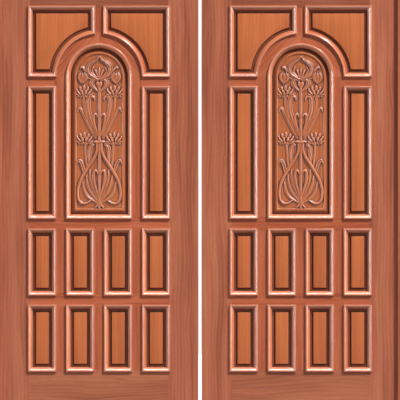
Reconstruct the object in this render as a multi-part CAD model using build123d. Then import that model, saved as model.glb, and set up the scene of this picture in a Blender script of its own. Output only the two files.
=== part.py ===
from build123d import *
import math
import os

# A pair of panelled hardwood doors hung in a rebated frame.
# X runs across the doorway, the outside faces -Y and Z is up.
# The origin is on the floor, under the middle of the frame.

# Leaves and the gaps round them
LEAF_WIDTH = 914.4
LEAF_HEIGHT = 2032.0
LEAF_THICKNESS = 44.5
MEETING_GAP = 15.0
HINGE_GAP = 3.0
HEAD_GAP = 3.0
FLOOR_GAP = 6.0
STOP_GAP = 1.0

# Stiles, rails and bars of a leaf
STILE_WIDTH = 139.0
TOP_RAIL_WIDTH = 139.0
BOTTOM_RAIL_WIDTH = 225.0
MIDDLE_RAIL_WIDTH = 61.0
LOCK_RAIL_WIDTH = 63.5
CROSS_RAIL_WIDTH = 60.5
BAR_WIDTH = 63.5
CROWN_MULLION_WIDTH = 55.5
SMALL_PANEL_HEIGHT = 290.0
# The bar over the arch is shortest at the crown, and the springing drops a little below the spandrels
CROWN_HEIGHT = 111.0
ARCH_DROP = 8.0

# Grooves that hold the panels and the stub tenons
GROOVE_DEPTH = 12.0
TONGUE_PLAY = 1.5
SCRIBE_PLAY = 0.2

# Raised panels
MARGIN_DEPTH = 12.0
MARGIN_WIDTH = 9.5
BEVEL_WIDTH = 7.0
BEVEL_HEIGHT = 8.0

# Bolection mouldings: they lap the bars and reach down onto the panels
MOULDING_LAP = 10.0
MOULDING_REACH = 12.0
MOULDING_RISE = 11.0
# Its nose, slope and toe: shares of its width from the outer edge and of its height above the panel
SECTION_SHARES = ((0.0, 0.8), (0.14, 1.0), (0.38, 0.92), (0.9, 0.4), (1.0, 0.15))

# Carved panel: a rim, a sunk ground and plants left standing on it
CARVED_MARGIN_WIDTH = 12.0
CARVED_RIM = 7.0
GROUND_DEPTH = 6.0
RELIEF_HEIGHT = 6.0

# Frame
JAMB_WIDTH = 55.0
REBATE_DEPTH = 13.0
LIP_THICKNESS = 16.5
SILL_HEIGHT = 25.0
SILL_SLOPE = 8.0

# Butt hinges with a lift-off upper half
HINGE_HEIGHT = 101.6
HINGE_PLATE_WIDTH = 34.0
HINGE_PLATE = 3.0
KNUCKLE_DIAMETER = 13.0
KNUCKLE_STAND = 7.5
KNUCKLE_GAP = 0.3
PIN_DIAMETER = 8.0
PIN_FIT = 0.05
HINGE_FROM_FOOT = 280.0
HINGE_FROM_HEAD = 178.0

# One overrun serves all cuts
OVERRUN = 5.0

# Flats that stand for round forms: the arch and a hinge knuckle
ARCH_FLAT_COUNT = 18
KNUCKLE_FLAT_COUNT = 12

# Carved plants: one half, mirrored about the middle stem.
# Across is a share of the field's half width, up is a share of the height to the springing,
# and the last value is half the stem's width as a share of the field's half width.
CARVED_SHARES = (
    # Main stem, its binding and the bloom at its head
    ((0.0, 0.03, 0.05), (0.0, 0.91, 0.07)),
    ((-0.22, 0.51, 0.06), (0.22, 0.51, 0.06)),
    ((0.0, 1.065, 0.04), (0.0, 1.03, 0.07), (0.0, 0.985, 0.04)),
    ((0.0, 0.96, 0.05), (0.0, 0.935, 0.1), (0.0, 0.895, 0.04)),
    (
        (0.02, 1.125, 0.04), (0.26, 1.103, 0.08), (0.43, 1.065, 0.11), (0.34, 1.012, 0.09),
        (0.06, 0.975, 0.06),
    ),
    ((0.12, 0.975, 0.05), (0.3, 0.955, 0.08), (0.05, 0.905, 0.06)),
    # Bud beside the bloom
    ((0.7, 1.035, 0.06), (0.69, 0.995, 0.18), (0.66, 0.955, 0.05)),
    # Hooked leaf and the thin leaf outside it
    ((0.2, 0.825, 0.04), (0.31, 0.843, 0.06), (0.47, 0.81, 0.09), (0.43, 0.73, 0.09), (0.11, 0.565, 0.05)),
    ((0.9, 0.745, 0.03), (0.79, 0.763, 0.05), (0.62, 0.705, 0.05), (0.15, 0.55, 0.04)),
    # Whiplash stem that runs down and turns back at the foot
    (
        (0.08, 0.49, 0.05), (0.12, 0.42, 0.06), (0.45, 0.305, 0.06), (0.8, 0.202, 0.06),
        (0.91, 0.13, 0.06), (0.84, 0.068, 0.06), (0.62, 0.045, 0.06), (0.37, 0.073, 0.04),
    ),
    # Leaves below the binding
    ((0.25, 0.48, 0.04), (0.41, 0.455, 0.07), (0.39, 0.33, 0.04)),
    ((0.58, 0.5, 0.04), (0.5, 0.31, 0.04)),
    ((0.89, 0.357, 0.04), (0.73, 0.355, 0.08), (0.59, 0.275, 0.05)),
    # Fan of leaves at the foot
    ((0.08, 0.275, 0.03), (0.18, 0.296, 0.04), (0.26, 0.262, 0.05), (0.06, 0.12, 0.04)),
    ((0.38, 0.293, 0.03), (0.31, 0.21, 0.06), (0.04, 0.075, 0.04)),
    ((0.5, 0.238, 0.03), (0.38, 0.16, 0.06), (0.03, 0.058, 0.04)),
    ((0.68, 0.195, 0.03), (0.5, 0.122, 0.06), (0.04, 0.05, 0.04)),
)
# Flower heads: the middle of the foot, and the fan's points about it
UMBEL_FOOT_SHARES = ((0.62, 0.862), (0.59, 0.497))
UMBEL_FAN_SHARES = (
    (-0.06, 0.0), (-0.32, 0.02), (-0.24, 0.052), (-0.08, 0.072),
    (0.1, 0.072), (0.26, 0.05), (0.31, 0.015), (0.06, 0.0),
)

# Places in a leaf, from its middle and its foot
COLUMN_WIDTH = (LEAF_WIDTH - 2 * STILE_WIDTH - 3 * BAR_WIDTH) / 4
STILE_EDGE = LEAF_WIDTH / 2 - STILE_WIDTH
ARCH_RADIUS = COLUMN_WIDTH + BAR_WIDTH / 2
ARCH_OUTER = ARCH_RADIUS + BAR_WIDTH
ARCH_SAG = ARCH_OUTER * (1 - math.cos(math.pi / ARCH_FLAT_COUNT / 2))
CURVE_GAP = SCRIBE_PLAY + ARCH_SAG
LOWER_FOOT = BOTTOM_RAIL_WIDTH
LOWER_HEAD = LOWER_FOOT + SMALL_PANEL_HEIGHT
UPPER_FOOT = LOWER_HEAD + MIDDLE_RAIL_WIDTH
UPPER_HEAD = UPPER_FOOT + SMALL_PANEL_HEIGHT
SIDE_FOOT = UPPER_HEAD + LOCK_RAIL_WIDTH
SPANDREL_HEAD = LEAF_HEIGHT - TOP_RAIL_WIDTH
SPRINGING = SPANDREL_HEAD - CROWN_HEIGHT - ARCH_OUTER
SPANDREL_FOOT = SPRINGING + ARCH_DROP
SIDE_HEAD = SPANDREL_FOOT - CROSS_RAIL_WIDTH
SPANDREL_FLAT_COUNT = ARCH_FLAT_COUNT // 2 - 1
FACE = LEAF_THICKNESS / 2
TONGUE = LEAF_THICKNESS / 2 - MARGIN_DEPTH
BEVEL_FOOT = MOULDING_REACH + MARGIN_WIDTH
FIELD_INSET = BEVEL_FOOT + BEVEL_WIDTH
CARVED_FOOT = MOULDING_REACH + CARVED_MARGIN_WIDTH
CARVED_INSET = CARVED_FOOT + BEVEL_WIDTH
FIELD = TONGUE + BEVEL_HEIGHT

# Places in the frame
FRAME_DEPTH = LIP_THICKNESS + STOP_GAP + LEAF_THICKNESS
FRAME_BACK = FRAME_DEPTH / 2
LIP_BACK = LIP_THICKNESS - FRAME_DEPTH / 2
LEAF_MIDDLE_Y = FRAME_BACK - LEAF_THICKNESS / 2
LEAF_FOOT = SILL_HEIGHT + FLOOR_GAP
LEAF_MIDDLE_X = MEETING_GAP / 2 + LEAF_WIDTH / 2
HINGE_EDGE = MEETING_GAP / 2 + LEAF_WIDTH
REBATE_FACE = HINGE_EDGE + HINGE_GAP
LIP_EDGE = REBATE_FACE - REBATE_DEPTH
FRAME_SIDE = LIP_EDGE + JAMB_WIDTH
HEAD_REBATE = LEAF_FOOT + LEAF_HEIGHT + HEAD_GAP
FRAME_TOP = HEAD_REBATE + JAMB_WIDTH - REBATE_DEPTH


# Plain shapes in a leaf laid flat: X across, Y up the leaf, Z out of its face
def block(left, right, foot, head, low, high):
    middle = Pos((left + right) / 2, (foot + head) / 2, (low + high) / 2)
    return middle * Box(right - left, head - foot, high - low)


def mirrored(shape):
    return mirror(shape, about=Plane.YZ)


# An outline gives the corners of an opening, drawn in on all sides by an inset
def rectangle_outline(left, right, foot, head):
    def outline(inset):
        return [
            (left + inset, foot + inset), (right - inset, foot + inset),
            (right - inset, head - inset), (left + inset, head - inset),
        ]
    return outline


def arc(radius, start, end, flats):
    turns = [start + (end - start) * step / flats for step in range(flats + 1)]
    return [(radius * math.cos(turn), SPRINGING + radius * math.sin(turn)) for turn in turns]


def arch_outline(inset):
    half = ARCH_RADIUS - inset
    foot = SIDE_FOOT + inset
    return [(-half, foot), (half, foot)] + arc(half, 0, math.pi, ARCH_FLAT_COUNT)


def spandrel_outline(inset):
    radius = ARCH_OUTER + inset
    foot, head = SPANDREL_FOOT + inset, SPANDREL_HEAD - inset
    far, near = STILE_EDGE - inset, CROWN_MULLION_WIDTH / 2 + inset
    start = math.pi - math.asin((foot - SPRINGING) / radius)
    end = math.pi / 2 + math.asin(near / radius)
    edge = arc(radius, start, end, SPANDREL_FLAT_COUNT)
    return edge + [(-near, head), (-far, head), (-far, foot)]


def prism(points, low, high):
    return extrude(Pos(0, 0, low) * make_face(Polyline(*points, close=True)), high - low, dir=(0, 0, 1))


def half_disc(radius, low, high):
    return prism(arc(radius, 0, math.pi, ARCH_FLAT_COUNT), low, high)


# Sloping faces between outlines at different insets and heights
def outline_rings(outline, steps):
    return [[Vector(x, y, height) for x, y in outline(inset)] for inset, height in steps]


def slopes(low, high):
    faces = []
    for a, b, c, d in zip(low, low[1:] + low[:1], high[1:] + high[:1], high):
        faces += [Face(Wire.make_polygon((a, b, c))), Face(Wire.make_polygon((a, c, d)))]
    return faces


def tier(outline, steps):
    rings = outline_rings(outline, steps)
    faces = [Face(Wire.make_polygon(ring)) for ring in (rings[0], rings[-1])]
    for low, high in zip(rings, rings[1:]):
        faces += slopes(low, high)
    return Solid(Shell(faces)).clean()


def mitred_ring(outline, section):
    rings = outline_rings(outline, section)
    faces = []
    for low, high in zip(rings, rings[1:] + rings[:1]):
        faces += slopes(low, high)
    return Solid(Shell(faces)).clean()


# Openings of a leaf, one outline for each panel
def column_left(column):
    return -STILE_EDGE + column * (COLUMN_WIDTH + BAR_WIDTH)


SMALL_OUTLINE = rectangle_outline(-STILE_EDGE, COLUMN_WIDTH - STILE_EDGE, LOWER_FOOT, LOWER_HEAD)
SIDE_OUTLINE = rectangle_outline(-STILE_EDGE, -ARCH_OUTER, SIDE_FOOT, SIDE_HEAD)


# Panels float in the grooves by their tongues
def panel(outline, bevel_foot, field_inset):
    tongue = prism(outline(TONGUE_PLAY - GROOVE_DEPTH), -TONGUE, TONGUE)
    front = tier(outline, ((bevel_foot, TONGUE), (field_inset, FIELD)))
    back = tier(outline, ((bevel_foot, -TONGUE), (field_inset, -FIELD)))
    return tongue + front + back


# A stem follows its middle points, and its two edges stand off them by the half widths
def carved_stem(shares):
    half, rise = ARCH_RADIUS - CARVED_INSET, SPRINGING - SIDE_FOOT - CARVED_INSET
    foot = SIDE_FOOT + CARVED_INSET
    points = [Vector(across * half, foot + up * rise) for across, up, wide in shares]
    widths = [wide * half for across, up, wide in shares]
    runs = [(b - a).normalized() for a, b in zip(points, points[1:])]
    turns = [before + after for before, after in zip(runs[:1] + runs, runs + runs[-1:])]
    normals = [turn.normalized().rotate(Axis.Z, 90) for turn in turns]
    left = [point + normal * wide for point, normal, wide in zip(points, normals, widths)]
    right = [point - normal * wide for point, normal, wide in zip(points, normals, widths)]
    return make_face(Polyline(*left, *reversed(right), close=True))


def flower_head(place):
    half, rise = ARCH_RADIUS - CARVED_INSET, SPRINGING - SIDE_FOOT - CARVED_INSET
    foot = SIDE_FOOT + CARVED_INSET
    points = [
        ((place[0] + across) * half, foot + (place[1] + up) * rise) for across, up in UMBEL_FAN_SHARES
    ]
    return make_face(Polyline(*points, close=True))


def carved_panel():
    board = panel(arch_outline, CARVED_FOOT, CARVED_INSET)
    ground = FIELD - GROUND_DEPTH
    sunk = prism(arch_outline(CARVED_INSET + CARVED_RIM), ground, FIELD + OVERRUN)
    half = [carved_stem(shares) for shares in CARVED_SHARES]
    half += [flower_head(place) for place in UMBEL_FOOT_SHARES]
    plants = half + [mirrored(face) for face in half]
    silhouette = plants[0].fuse(*plants[1:]).clean()
    return board - sunk + extrude(Pos(0, 0, ground) * silhouette, RELIEF_HEIGHT, dir=(0, 0, 1))


# Bolection moulding, mitred round an opening
def moulding(outline):
    width = MOULDING_LAP + MOULDING_REACH
    height = MARGIN_DEPTH + MOULDING_RISE
    front = [(across * width - MOULDING_LAP, TONGUE + up * height) for across, up in SECTION_SHARES]
    back = [(MOULDING_REACH, TONGUE), (CURVE_GAP, TONGUE), (CURVE_GAP, FACE), (-MOULDING_LAP, FACE)]
    return mitred_ring(outline, front + back)


# A member is two cheeks on a core, which stands back as a groove or runs on as a stub tenon
def member(left, right, foot, head, core_left, core_right, core_foot, core_head):
    front = block(left, right, foot, head, TONGUE, FACE)
    core = block(left + core_left, right - core_right, foot + core_foot, head - core_head, -TONGUE, TONGUE)
    back = block(left, right, foot, head, -FACE, -TONGUE)
    return front + core + back


def rail(foot, head, foot_groove, head_groove):
    stub = -GROOVE_DEPTH
    return member(-STILE_EDGE, STILE_EDGE, foot, head, stub, stub, foot_groove, head_groove)


def bar(middle, foot, head, head_groove):
    left, right = middle - BAR_WIDTH / 2, middle + BAR_WIDTH / 2
    return member(left, right, foot, head, GROOVE_DEPTH, GROOVE_DEPTH, -GROOVE_DEPTH, head_groove)


def arch_rail():
    cheek = half_disc(ARCH_OUTER, TONGUE, FACE) - half_disc(ARCH_RADIUS, TONGUE, FACE)
    core = half_disc(ARCH_OUTER - GROOVE_DEPTH, -TONGUE, TONGUE)
    core -= half_disc(ARCH_RADIUS + GROOVE_DEPTH, -TONGUE, TONGUE)
    return cheek + core + mirror(cheek, about=Plane.XY)


def crown_mullion():
    half, core_half = CROWN_MULLION_WIDTH / 2, CROWN_MULLION_WIDTH / 2 - GROOVE_DEPTH
    head = SPANDREL_HEAD
    cheek = block(-half, half, SPRINGING, head, TONGUE, FACE)
    cheek -= half_disc(ARCH_OUTER + SCRIBE_PLAY, TONGUE, FACE)
    core = block(-core_half, core_half, SPRINGING, head + GROOVE_DEPTH, -TONGUE, TONGUE)
    core -= half_disc(ARCH_OUTER - GROOVE_DEPTH + SCRIBE_PLAY, -TONGUE, TONGUE)
    return cheek + core + mirror(cheek, about=Plane.XY)


def pair(pieces, name, piece):
    pieces[f"outer_{name}"] = [piece]
    pieces[f"inner_{name}"] = [mirrored(piece)]


def leaf_pieces():
    groove, stub = GROOVE_DEPTH, -GROOVE_DEPTH
    muntin_xs = [column_left(column) - BAR_WIDTH / 2 for column in range(1, 4)]
    stile = member(-LEAF_WIDTH / 2, -STILE_EDGE, 0, LEAF_HEIGHT, 0, groove, 0, 0)
    pieces = {"hinge_stile": [stile], "meeting_stile": [mirrored(stile)]}
    pieces["top_rail"] = [rail(SPANDREL_HEAD, LEAF_HEIGHT, groove, 0)]
    pieces["lock_rail"] = [rail(UPPER_HEAD, SIDE_FOOT, groove, groove)]
    pieces["middle_rail"] = [rail(LOWER_HEAD, UPPER_FOOT, groove, groove)]
    pieces["bottom_rail"] = [rail(0, LOWER_FOOT, 0, groove)]
    pieces["muntins"] = [
        bar(middle, foot, foot + SMALL_PANEL_HEIGHT, stub)
        for foot in (LOWER_FOOT, UPPER_FOOT)
        for middle in muntin_xs
    ]
    pieces["arch_rail"] = [arch_rail()]
    pieces["crown_mullion"] = [crown_mullion()]
    pair(pieces, "mullion", bar(-ARCH_RADIUS - BAR_WIDTH / 2, SIDE_FOOT, SPRINGING, 0))
    cross = member(-STILE_EDGE, -ARCH_OUTER, SIDE_HEAD, SPANDREL_FOOT, stub, stub, groove, groove)
    pair(pieces, "cross_rail", cross)

    small_panel, small_moulding = panel(SMALL_OUTLINE, BEVEL_FOOT, FIELD_INSET), moulding(SMALL_OUTLINE)
    steps = [
        Pos(column * (COLUMN_WIDTH + BAR_WIDTH), row * (UPPER_FOOT - LOWER_FOOT))
        for row in range(2)
        for column in range(4)
    ]
    pieces["small_panels"] = [step * small_panel for step in steps]
    pieces["small_mouldings"] = [step * small_moulding for step in steps]
    pair(pieces, "side_panel", panel(SIDE_OUTLINE, BEVEL_FOOT, FIELD_INSET))
    pair(pieces, "spandrel_panel", panel(spandrel_outline, BEVEL_FOOT, FIELD_INSET))
    side, spandrel = moulding(SIDE_OUTLINE), moulding(spandrel_outline)
    pieces["side_mouldings"] = [side, mirrored(side)]
    pieces["spandrel_mouldings"] = [spandrel, mirrored(spandrel)]
    pieces["carved_panel"] = [carved_panel()]
    pieces["arch_moulding"] = [moulding(arch_outline)]
    return pieces


# Hinges of the left leaf, in place
def hinge_feet():
    low = LEAF_FOOT + HINGE_FROM_FOOT
    high = LEAF_FOOT + LEAF_HEIGHT - HINGE_FROM_HEAD - HINGE_HEIGHT
    return [low, (low + high) / 2, high]


def upright(radius, foot, head):
    x, y = HINGE_GAP / 2 - REBATE_FACE, FRAME_BACK + KNUCKLE_STAND
    return extrude(Pos(x, y, foot) * RegularPolygon(radius, KNUCKLE_FLAT_COUNT), head - foot, dir=(0, 0, 1))


def hinge_half(inner_x, outer_x, foot, knuckle_foot, knuckle_head):
    plate = block(inner_x, outer_x, FRAME_BACK - HINGE_PLATE_WIDTH, FRAME_BACK, foot, foot + HINGE_HEIGHT)
    arm = block(inner_x, outer_x, FRAME_BACK, FRAME_BACK + KNUCKLE_STAND, knuckle_foot, knuckle_head)
    bore_radius = (PIN_DIAMETER / 2 + PIN_FIT) / math.cos(math.pi / KNUCKLE_FLAT_COUNT)
    bore = upright(bore_radius, knuckle_foot - OVERRUN, knuckle_head + OVERRUN)
    return plate + arm + upright(KNUCKLE_DIAMETER / 2, knuckle_foot, knuckle_head) - bore


def jamb_half(foot):
    head = foot + (HINGE_HEIGHT - KNUCKLE_GAP) / 2
    return hinge_half(-REBATE_FACE - HINGE_PLATE, -REBATE_FACE, foot, foot, head)


def leaf_half(foot):
    head = foot + HINGE_HEIGHT
    knuckle_foot = head - (HINGE_HEIGHT - KNUCKLE_GAP) / 2
    return hinge_half(-HINGE_EDGE, HINGE_PLATE - HINGE_EDGE, foot, knuckle_foot, head)


def hinge_mortise(near, far, foot):
    depth = HINGE_PLATE_WIDTH
    return block(near, far, FRAME_BACK - depth, FRAME_BACK + OVERRUN, foot, foot + HINGE_HEIGHT)


# Frame: rebated jambs and head, and a sill between the jambs
def left_jamb():
    back = block(-FRAME_SIDE, -REBATE_FACE, LIP_BACK, FRAME_BACK, 0, FRAME_TOP)
    lip = block(-FRAME_SIDE, -LIP_EDGE, -FRAME_BACK, LIP_BACK, 0, FRAME_TOP)
    jamb = back + lip
    for foot in hinge_feet():
        jamb -= hinge_mortise(-REBATE_FACE - HINGE_PLATE, -REBATE_FACE + OVERRUN, foot)
    return jamb


def head_jamb():
    back = block(-REBATE_FACE, REBATE_FACE, LIP_BACK, FRAME_BACK, HEAD_REBATE, FRAME_TOP)
    lip = block(-LIP_EDGE, LIP_EDGE, -FRAME_BACK, LIP_BACK, HEAD_REBATE - REBATE_DEPTH, FRAME_TOP)
    return back + lip


def threshold():
    back = block(-REBATE_FACE, REBATE_FACE, LIP_BACK, FRAME_BACK, 0, SILL_HEIGHT)
    front = block(-LIP_EDGE, LIP_EDGE, -FRAME_BACK, LIP_BACK, 0, SILL_HEIGHT)
    slope = chamfer(front.edges().filter_by(Axis.X).sort_by(Axis.Z)[-2:].sort_by(Axis.Y)[:1], SILL_SLOPE)
    return back + slope


def save(name, solids):
    pieces = [piece for solid in solids for piece in solid.solids()]
    export_step(Compound(children=pieces), f"parts/{name}.step")


def main():
    os.makedirs("parts", exist_ok=True)
    stand = Pos(-LEAF_MIDDLE_X, LEAF_MIDDLE_Y, LEAF_FOOT) * Rot(90, 0, 0)
    nodes = {name: [stand * piece for piece in group] for name, group in leaf_pieces().items()}
    for foot in hinge_feet():
        nodes["hinge_stile"][0] -= hinge_mortise(-HINGE_EDGE - OVERRUN, HINGE_PLATE - HINGE_EDGE, foot)
    nodes["leaf_hinges"] = [leaf_half(foot) for foot in hinge_feet()]
    nodes["jamb_hinges"] = [jamb_half(foot) for foot in hinge_feet()]
    nodes["hinge_pins"] = [upright(PIN_DIAMETER / 2, foot, foot + HINGE_HEIGHT) for foot in hinge_feet()]
    nodes["jamb"] = [left_jamb()]
    for name, group in nodes.items():
        save(f"left_{name}", group)
        save(f"right_{name}", [mirrored(solid) for solid in group])
    save("head_jamb", [head_jamb()])
    save("threshold", [threshold()])


main()
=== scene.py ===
import math

import bmesh
import bpy
import numpy as np
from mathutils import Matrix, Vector


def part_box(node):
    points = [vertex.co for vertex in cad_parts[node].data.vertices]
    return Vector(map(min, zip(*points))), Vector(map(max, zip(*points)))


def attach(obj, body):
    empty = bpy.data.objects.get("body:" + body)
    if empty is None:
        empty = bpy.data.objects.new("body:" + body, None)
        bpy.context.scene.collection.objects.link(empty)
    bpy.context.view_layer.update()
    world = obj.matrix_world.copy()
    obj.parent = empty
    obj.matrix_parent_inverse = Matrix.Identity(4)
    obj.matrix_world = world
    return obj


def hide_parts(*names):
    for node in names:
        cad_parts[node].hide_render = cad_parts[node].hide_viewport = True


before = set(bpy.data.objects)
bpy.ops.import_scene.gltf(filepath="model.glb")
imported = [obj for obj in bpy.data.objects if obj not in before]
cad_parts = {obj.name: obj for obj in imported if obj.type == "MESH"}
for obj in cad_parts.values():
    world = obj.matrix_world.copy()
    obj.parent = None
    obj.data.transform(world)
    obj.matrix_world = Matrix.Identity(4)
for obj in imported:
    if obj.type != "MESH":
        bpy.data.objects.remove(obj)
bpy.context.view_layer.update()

# A pair of lacquered mahogany doors in a rebated frame, seen from the outside.
# Sizes are in millimetres. A leaf is drawn laid flat: x runs across it from its middle,
# y up from its foot and z out of its front face from the middle of its thickness.
MM = 0.001


def span(node, axis):
    low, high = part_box(node)
    return low[axis] / MM, high[axis] / MM


# Places read from the frame
LEAF_FOOT = span("left_hinge_stile", 2)[0]
LEAF_FRONT, LEAF_BACK = span("left_hinge_stile", 1)
MIDDLE_Y = (LEAF_FRONT + LEAF_BACK) / 2
FACE = (LEAF_BACK - LEAF_FRONT) / 2
HINGE_EDGE, STILE_INNER = span("left_hinge_stile", 0)
MEETING_INNER, MEETING_EDGE = span("left_meeting_stile", 0)
LEAF_MIDDLE = (HINGE_EDGE + MEETING_EDGE) / 2
STILE_EDGE = (MEETING_INNER - STILE_INNER) / 2
MULLION_OUTER, MULLION_INNER = span("left_outer_mullion", 0)
BAR_WIDTH = MULLION_INNER - MULLION_OUTER
ARCH_RADIUS = LEAF_MIDDLE - MULLION_INNER
ARCH_OUTER = LEAF_MIDDLE - MULLION_OUTER
COLUMNS = 4
COLUMN_WIDTH = (2 * STILE_EDGE - (COLUMNS - 1) * BAR_WIDTH) / COLUMNS
CROWN_LEFT, CROWN_RIGHT = span("left_crown_mullion", 0)
CROWN_HALF = (CROWN_RIGHT - CROWN_LEFT) / 2
LOWER_FOOT = span("left_bottom_rail", 2)[1] - LEAF_FOOT
LOWER_HEAD, UPPER_FOOT = (place - LEAF_FOOT for place in span("left_middle_rail", 2))
UPPER_HEAD, SIDE_FOOT = (place - LEAF_FOOT for place in span("left_lock_rail", 2))
SIDE_HEAD, SPANDREL_FOOT = (place - LEAF_FOOT for place in span("left_outer_cross_rail", 2))
SPANDREL_HEAD = span("left_top_rail", 2)[0] - LEAF_FOOT
SPRINGING = span("left_outer_mullion", 2)[1] - LEAF_FOOT
PANEL_FRONT, PANEL_BACK = span("left_small_panels", 1)
FIELD = (PANEL_BACK - PANEL_FRONT) / 2
MOULDING_LAP = LEAF_MIDDLE - STILE_EDGE - span("left_small_mouldings", 0)[0]
MOULDING_CREST = MIDDLE_Y - span("left_small_mouldings", 1)[0]
PIN_X, PIN_Y = (sum(span("left_hinge_pins", axis)) / 2 for axis in (0, 1))
PINS_FOOT, PINS_HEAD = span("left_hinge_pins", 2)
PLATE_FRONT = span("left_leaf_hinges", 1)[0]
FRAME_BACK = span("left_jamb", 1)[1]
JAMB_PLATE_BACK = span("left_jamb_hinges", 0)[0]

# Sizes of the joinery that the frame's boxes don't show
GROOVE_DEPTH = 12.0
TONGUE_PLAY = 1.5
TONGUE = 10.25
MOULDING_REACH = 12.0
BEVEL_FOOT = 21.5
BEVEL_WIDTH = 7.0
CARVED_FOOT = 24.0
ARRIS = 1.0
ARC_STEPS = 64
# A moulding turns by more degrees than this only at a mitre
MITRE_TURN = 20.0
# Edges that turn by more degrees than this look sharp, and the carving is softer than the joinery
SHARP_TURN, CARVED_SHARP_TURN = 30.0, 65.0

# Moulding section, as shares of its width from the outer edge and of its height over the panel
NOSE_WIDTH_SHARE = 0.15
NOSE_FOOT_SHARE = 0.74
SLOPE_TOP_SHARE = 0.3
SHOULDER_SHARE = 0.42
SLOPE_END_SHARE = 0.9
SLOPE_END_HEIGHT_SHARE = 0.4
TOE_HEIGHT_SHARE = 0.15
NOSE_STEPS = 6
SHOULDER_STEPS = 8

# Each board takes its grain from its own stretch of timber, this far from the next one
BOARD_SHIFT = 2300.0


# Outlines of the openings, drawn in on all sides by an inset
def rectangle_outline(left, right, foot, head):
    def outline(inset):
        return [
            (left + inset, foot + inset), (right - inset, foot + inset),
            (right - inset, head - inset), (left + inset, head - inset),
        ]
    return outline


def arc(radius, start, end, steps):
    turns = [start + (end - start) * step / steps for step in range(steps + 1)]
    return [(radius * math.cos(turn), SPRINGING + radius * math.sin(turn)) for turn in turns]


def arch_outline(inset):
    half = ARCH_RADIUS - inset
    foot = SIDE_FOOT + inset
    return [(-half, foot), (half, foot)] + arc(half, 0, math.pi, ARC_STEPS)


def spandrel_outline(inset):
    radius = ARCH_OUTER + inset
    foot, head = SPANDREL_FOOT + inset, SPANDREL_HEAD - inset
    far, near = STILE_EDGE - inset, CROWN_HALF + inset
    start = math.pi - math.asin((foot - SPRINGING) / radius)
    end = math.pi / 2 + math.asin(near / radius)
    return arc(radius, start, end, ARC_STEPS // 2) + [(-near, head), (-far, head), (-far, foot)]


def mirrored(outline):
    def other(inset):
        return [(-x, y) for x, y in reversed(outline(inset))]
    return other


def column_left(column):
    return column * (COLUMN_WIDTH + BAR_WIDTH) - STILE_EDGE


def small_outlines():
    return [
        rectangle_outline(column_left(column), column_left(column) + COLUMN_WIDTH, foot, head)
        for foot, head in ((LOWER_FOOT, LOWER_HEAD), (UPPER_FOOT, UPPER_HEAD))
        for column in range(COLUMNS)
    ]


side_outline = rectangle_outline(-STILE_EDGE, -ARCH_OUTER, SIDE_FOOT, SIDE_HEAD)


# A skin is points, faces and, for each corner of a face, its place along and across the grain
def skin_rings(rings, closed):
    count = len(rings[0])
    points = [point for ring in rings for point in ring]
    faces = []
    for band in range(len(rings) if closed else len(rings) - 1):
        low, high = band * count, (band + 1) % len(rings) * count
        for step in range(count):
            ahead = (step + 1) % count
            faces.append((low + step, low + ahead, high + ahead, high + step))
    if not closed:
        faces.append(tuple(reversed(range(count))))
        faces.append(tuple(range(len(points) - count, len(points))))
    return points, faces


def rings_of(outline, section):
    return [[(x, y, height) for x, y in outline(inset)] for inset, height in section]


def upright_grain(points, faces, board):
    shift = board * BOARD_SHIFT
    return [[(points[corner][1] + shift, points[corner][0]) for corner in face] for face in faces]


def turns_sharply(before, here, after):
    first = math.atan2(here[1] - before[1], here[0] - before[0])
    second = math.atan2(after[1] - here[1], after[0] - here[0])
    return abs(math.remainder(second - first, math.tau)) > math.radians(MITRE_TURN)


def strip_grain(outline, section, board):
    """Grain that follows each strip of a moulding and starts afresh at each mitre."""
    ring = outline(section[0][0])
    count = len(ring)
    strips, along = [board], [0.0]
    for step in range(1, count):
        mitre = turns_sharply(ring[step - 1], ring[step], ring[(step + 1) % count])
        strips.append(strips[-1] + mitre)
        along.append(along[-1] + math.dist(ring[step - 1], ring[step]))
    along.append(along[-1] + math.dist(ring[-1], ring[0]))
    across = [0.0]
    for here, after in zip(section, section[1:] + section[:1]):
        across.append(across[-1] + math.dist(here, after))
    return [
        [
            (along[step + far] + strips[step] * BOARD_SHIFT, across[band + up])
            for far, up in ((0, 0), (1, 0), (1, 1), (0, 1))
        ]
        for band in range(len(section))
        for step in range(count)
    ]


def raised_panel(outline, board):
    """A panel: tongue, flat margin, slightly rounded bevel and field, the same on both faces."""
    edge = TONGUE_PLAY - GROOVE_DEPTH
    inset = BEVEL_FOOT + BEVEL_WIDTH
    front = [
        (edge, TONGUE), (BEVEL_FOOT, TONGUE), (inset - 2 * ARRIS, FIELD - ARRIS),
        (inset - ARRIS, FIELD - ARRIS / 4), (inset, FIELD),
    ]
    section = [(place, -height) for place, height in reversed(front)] + front
    points, faces = skin_rings(rings_of(outline, section), False)
    return points, faces, upright_grain(points, faces, board)


def bend(start, corner, end, steps):
    """Points of a curve that leaves its start toward the corner and comes into its end from there."""
    points = []
    for step in range(1, steps + 1):
        part = step / steps
        before, middle, after = (1 - part) ** 2, 2 * part * (1 - part), part ** 2
        points.append(tuple(
            before * a + middle * b + after * c for a, b, c in zip(start, corner, end)
        ))
    return points


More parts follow.
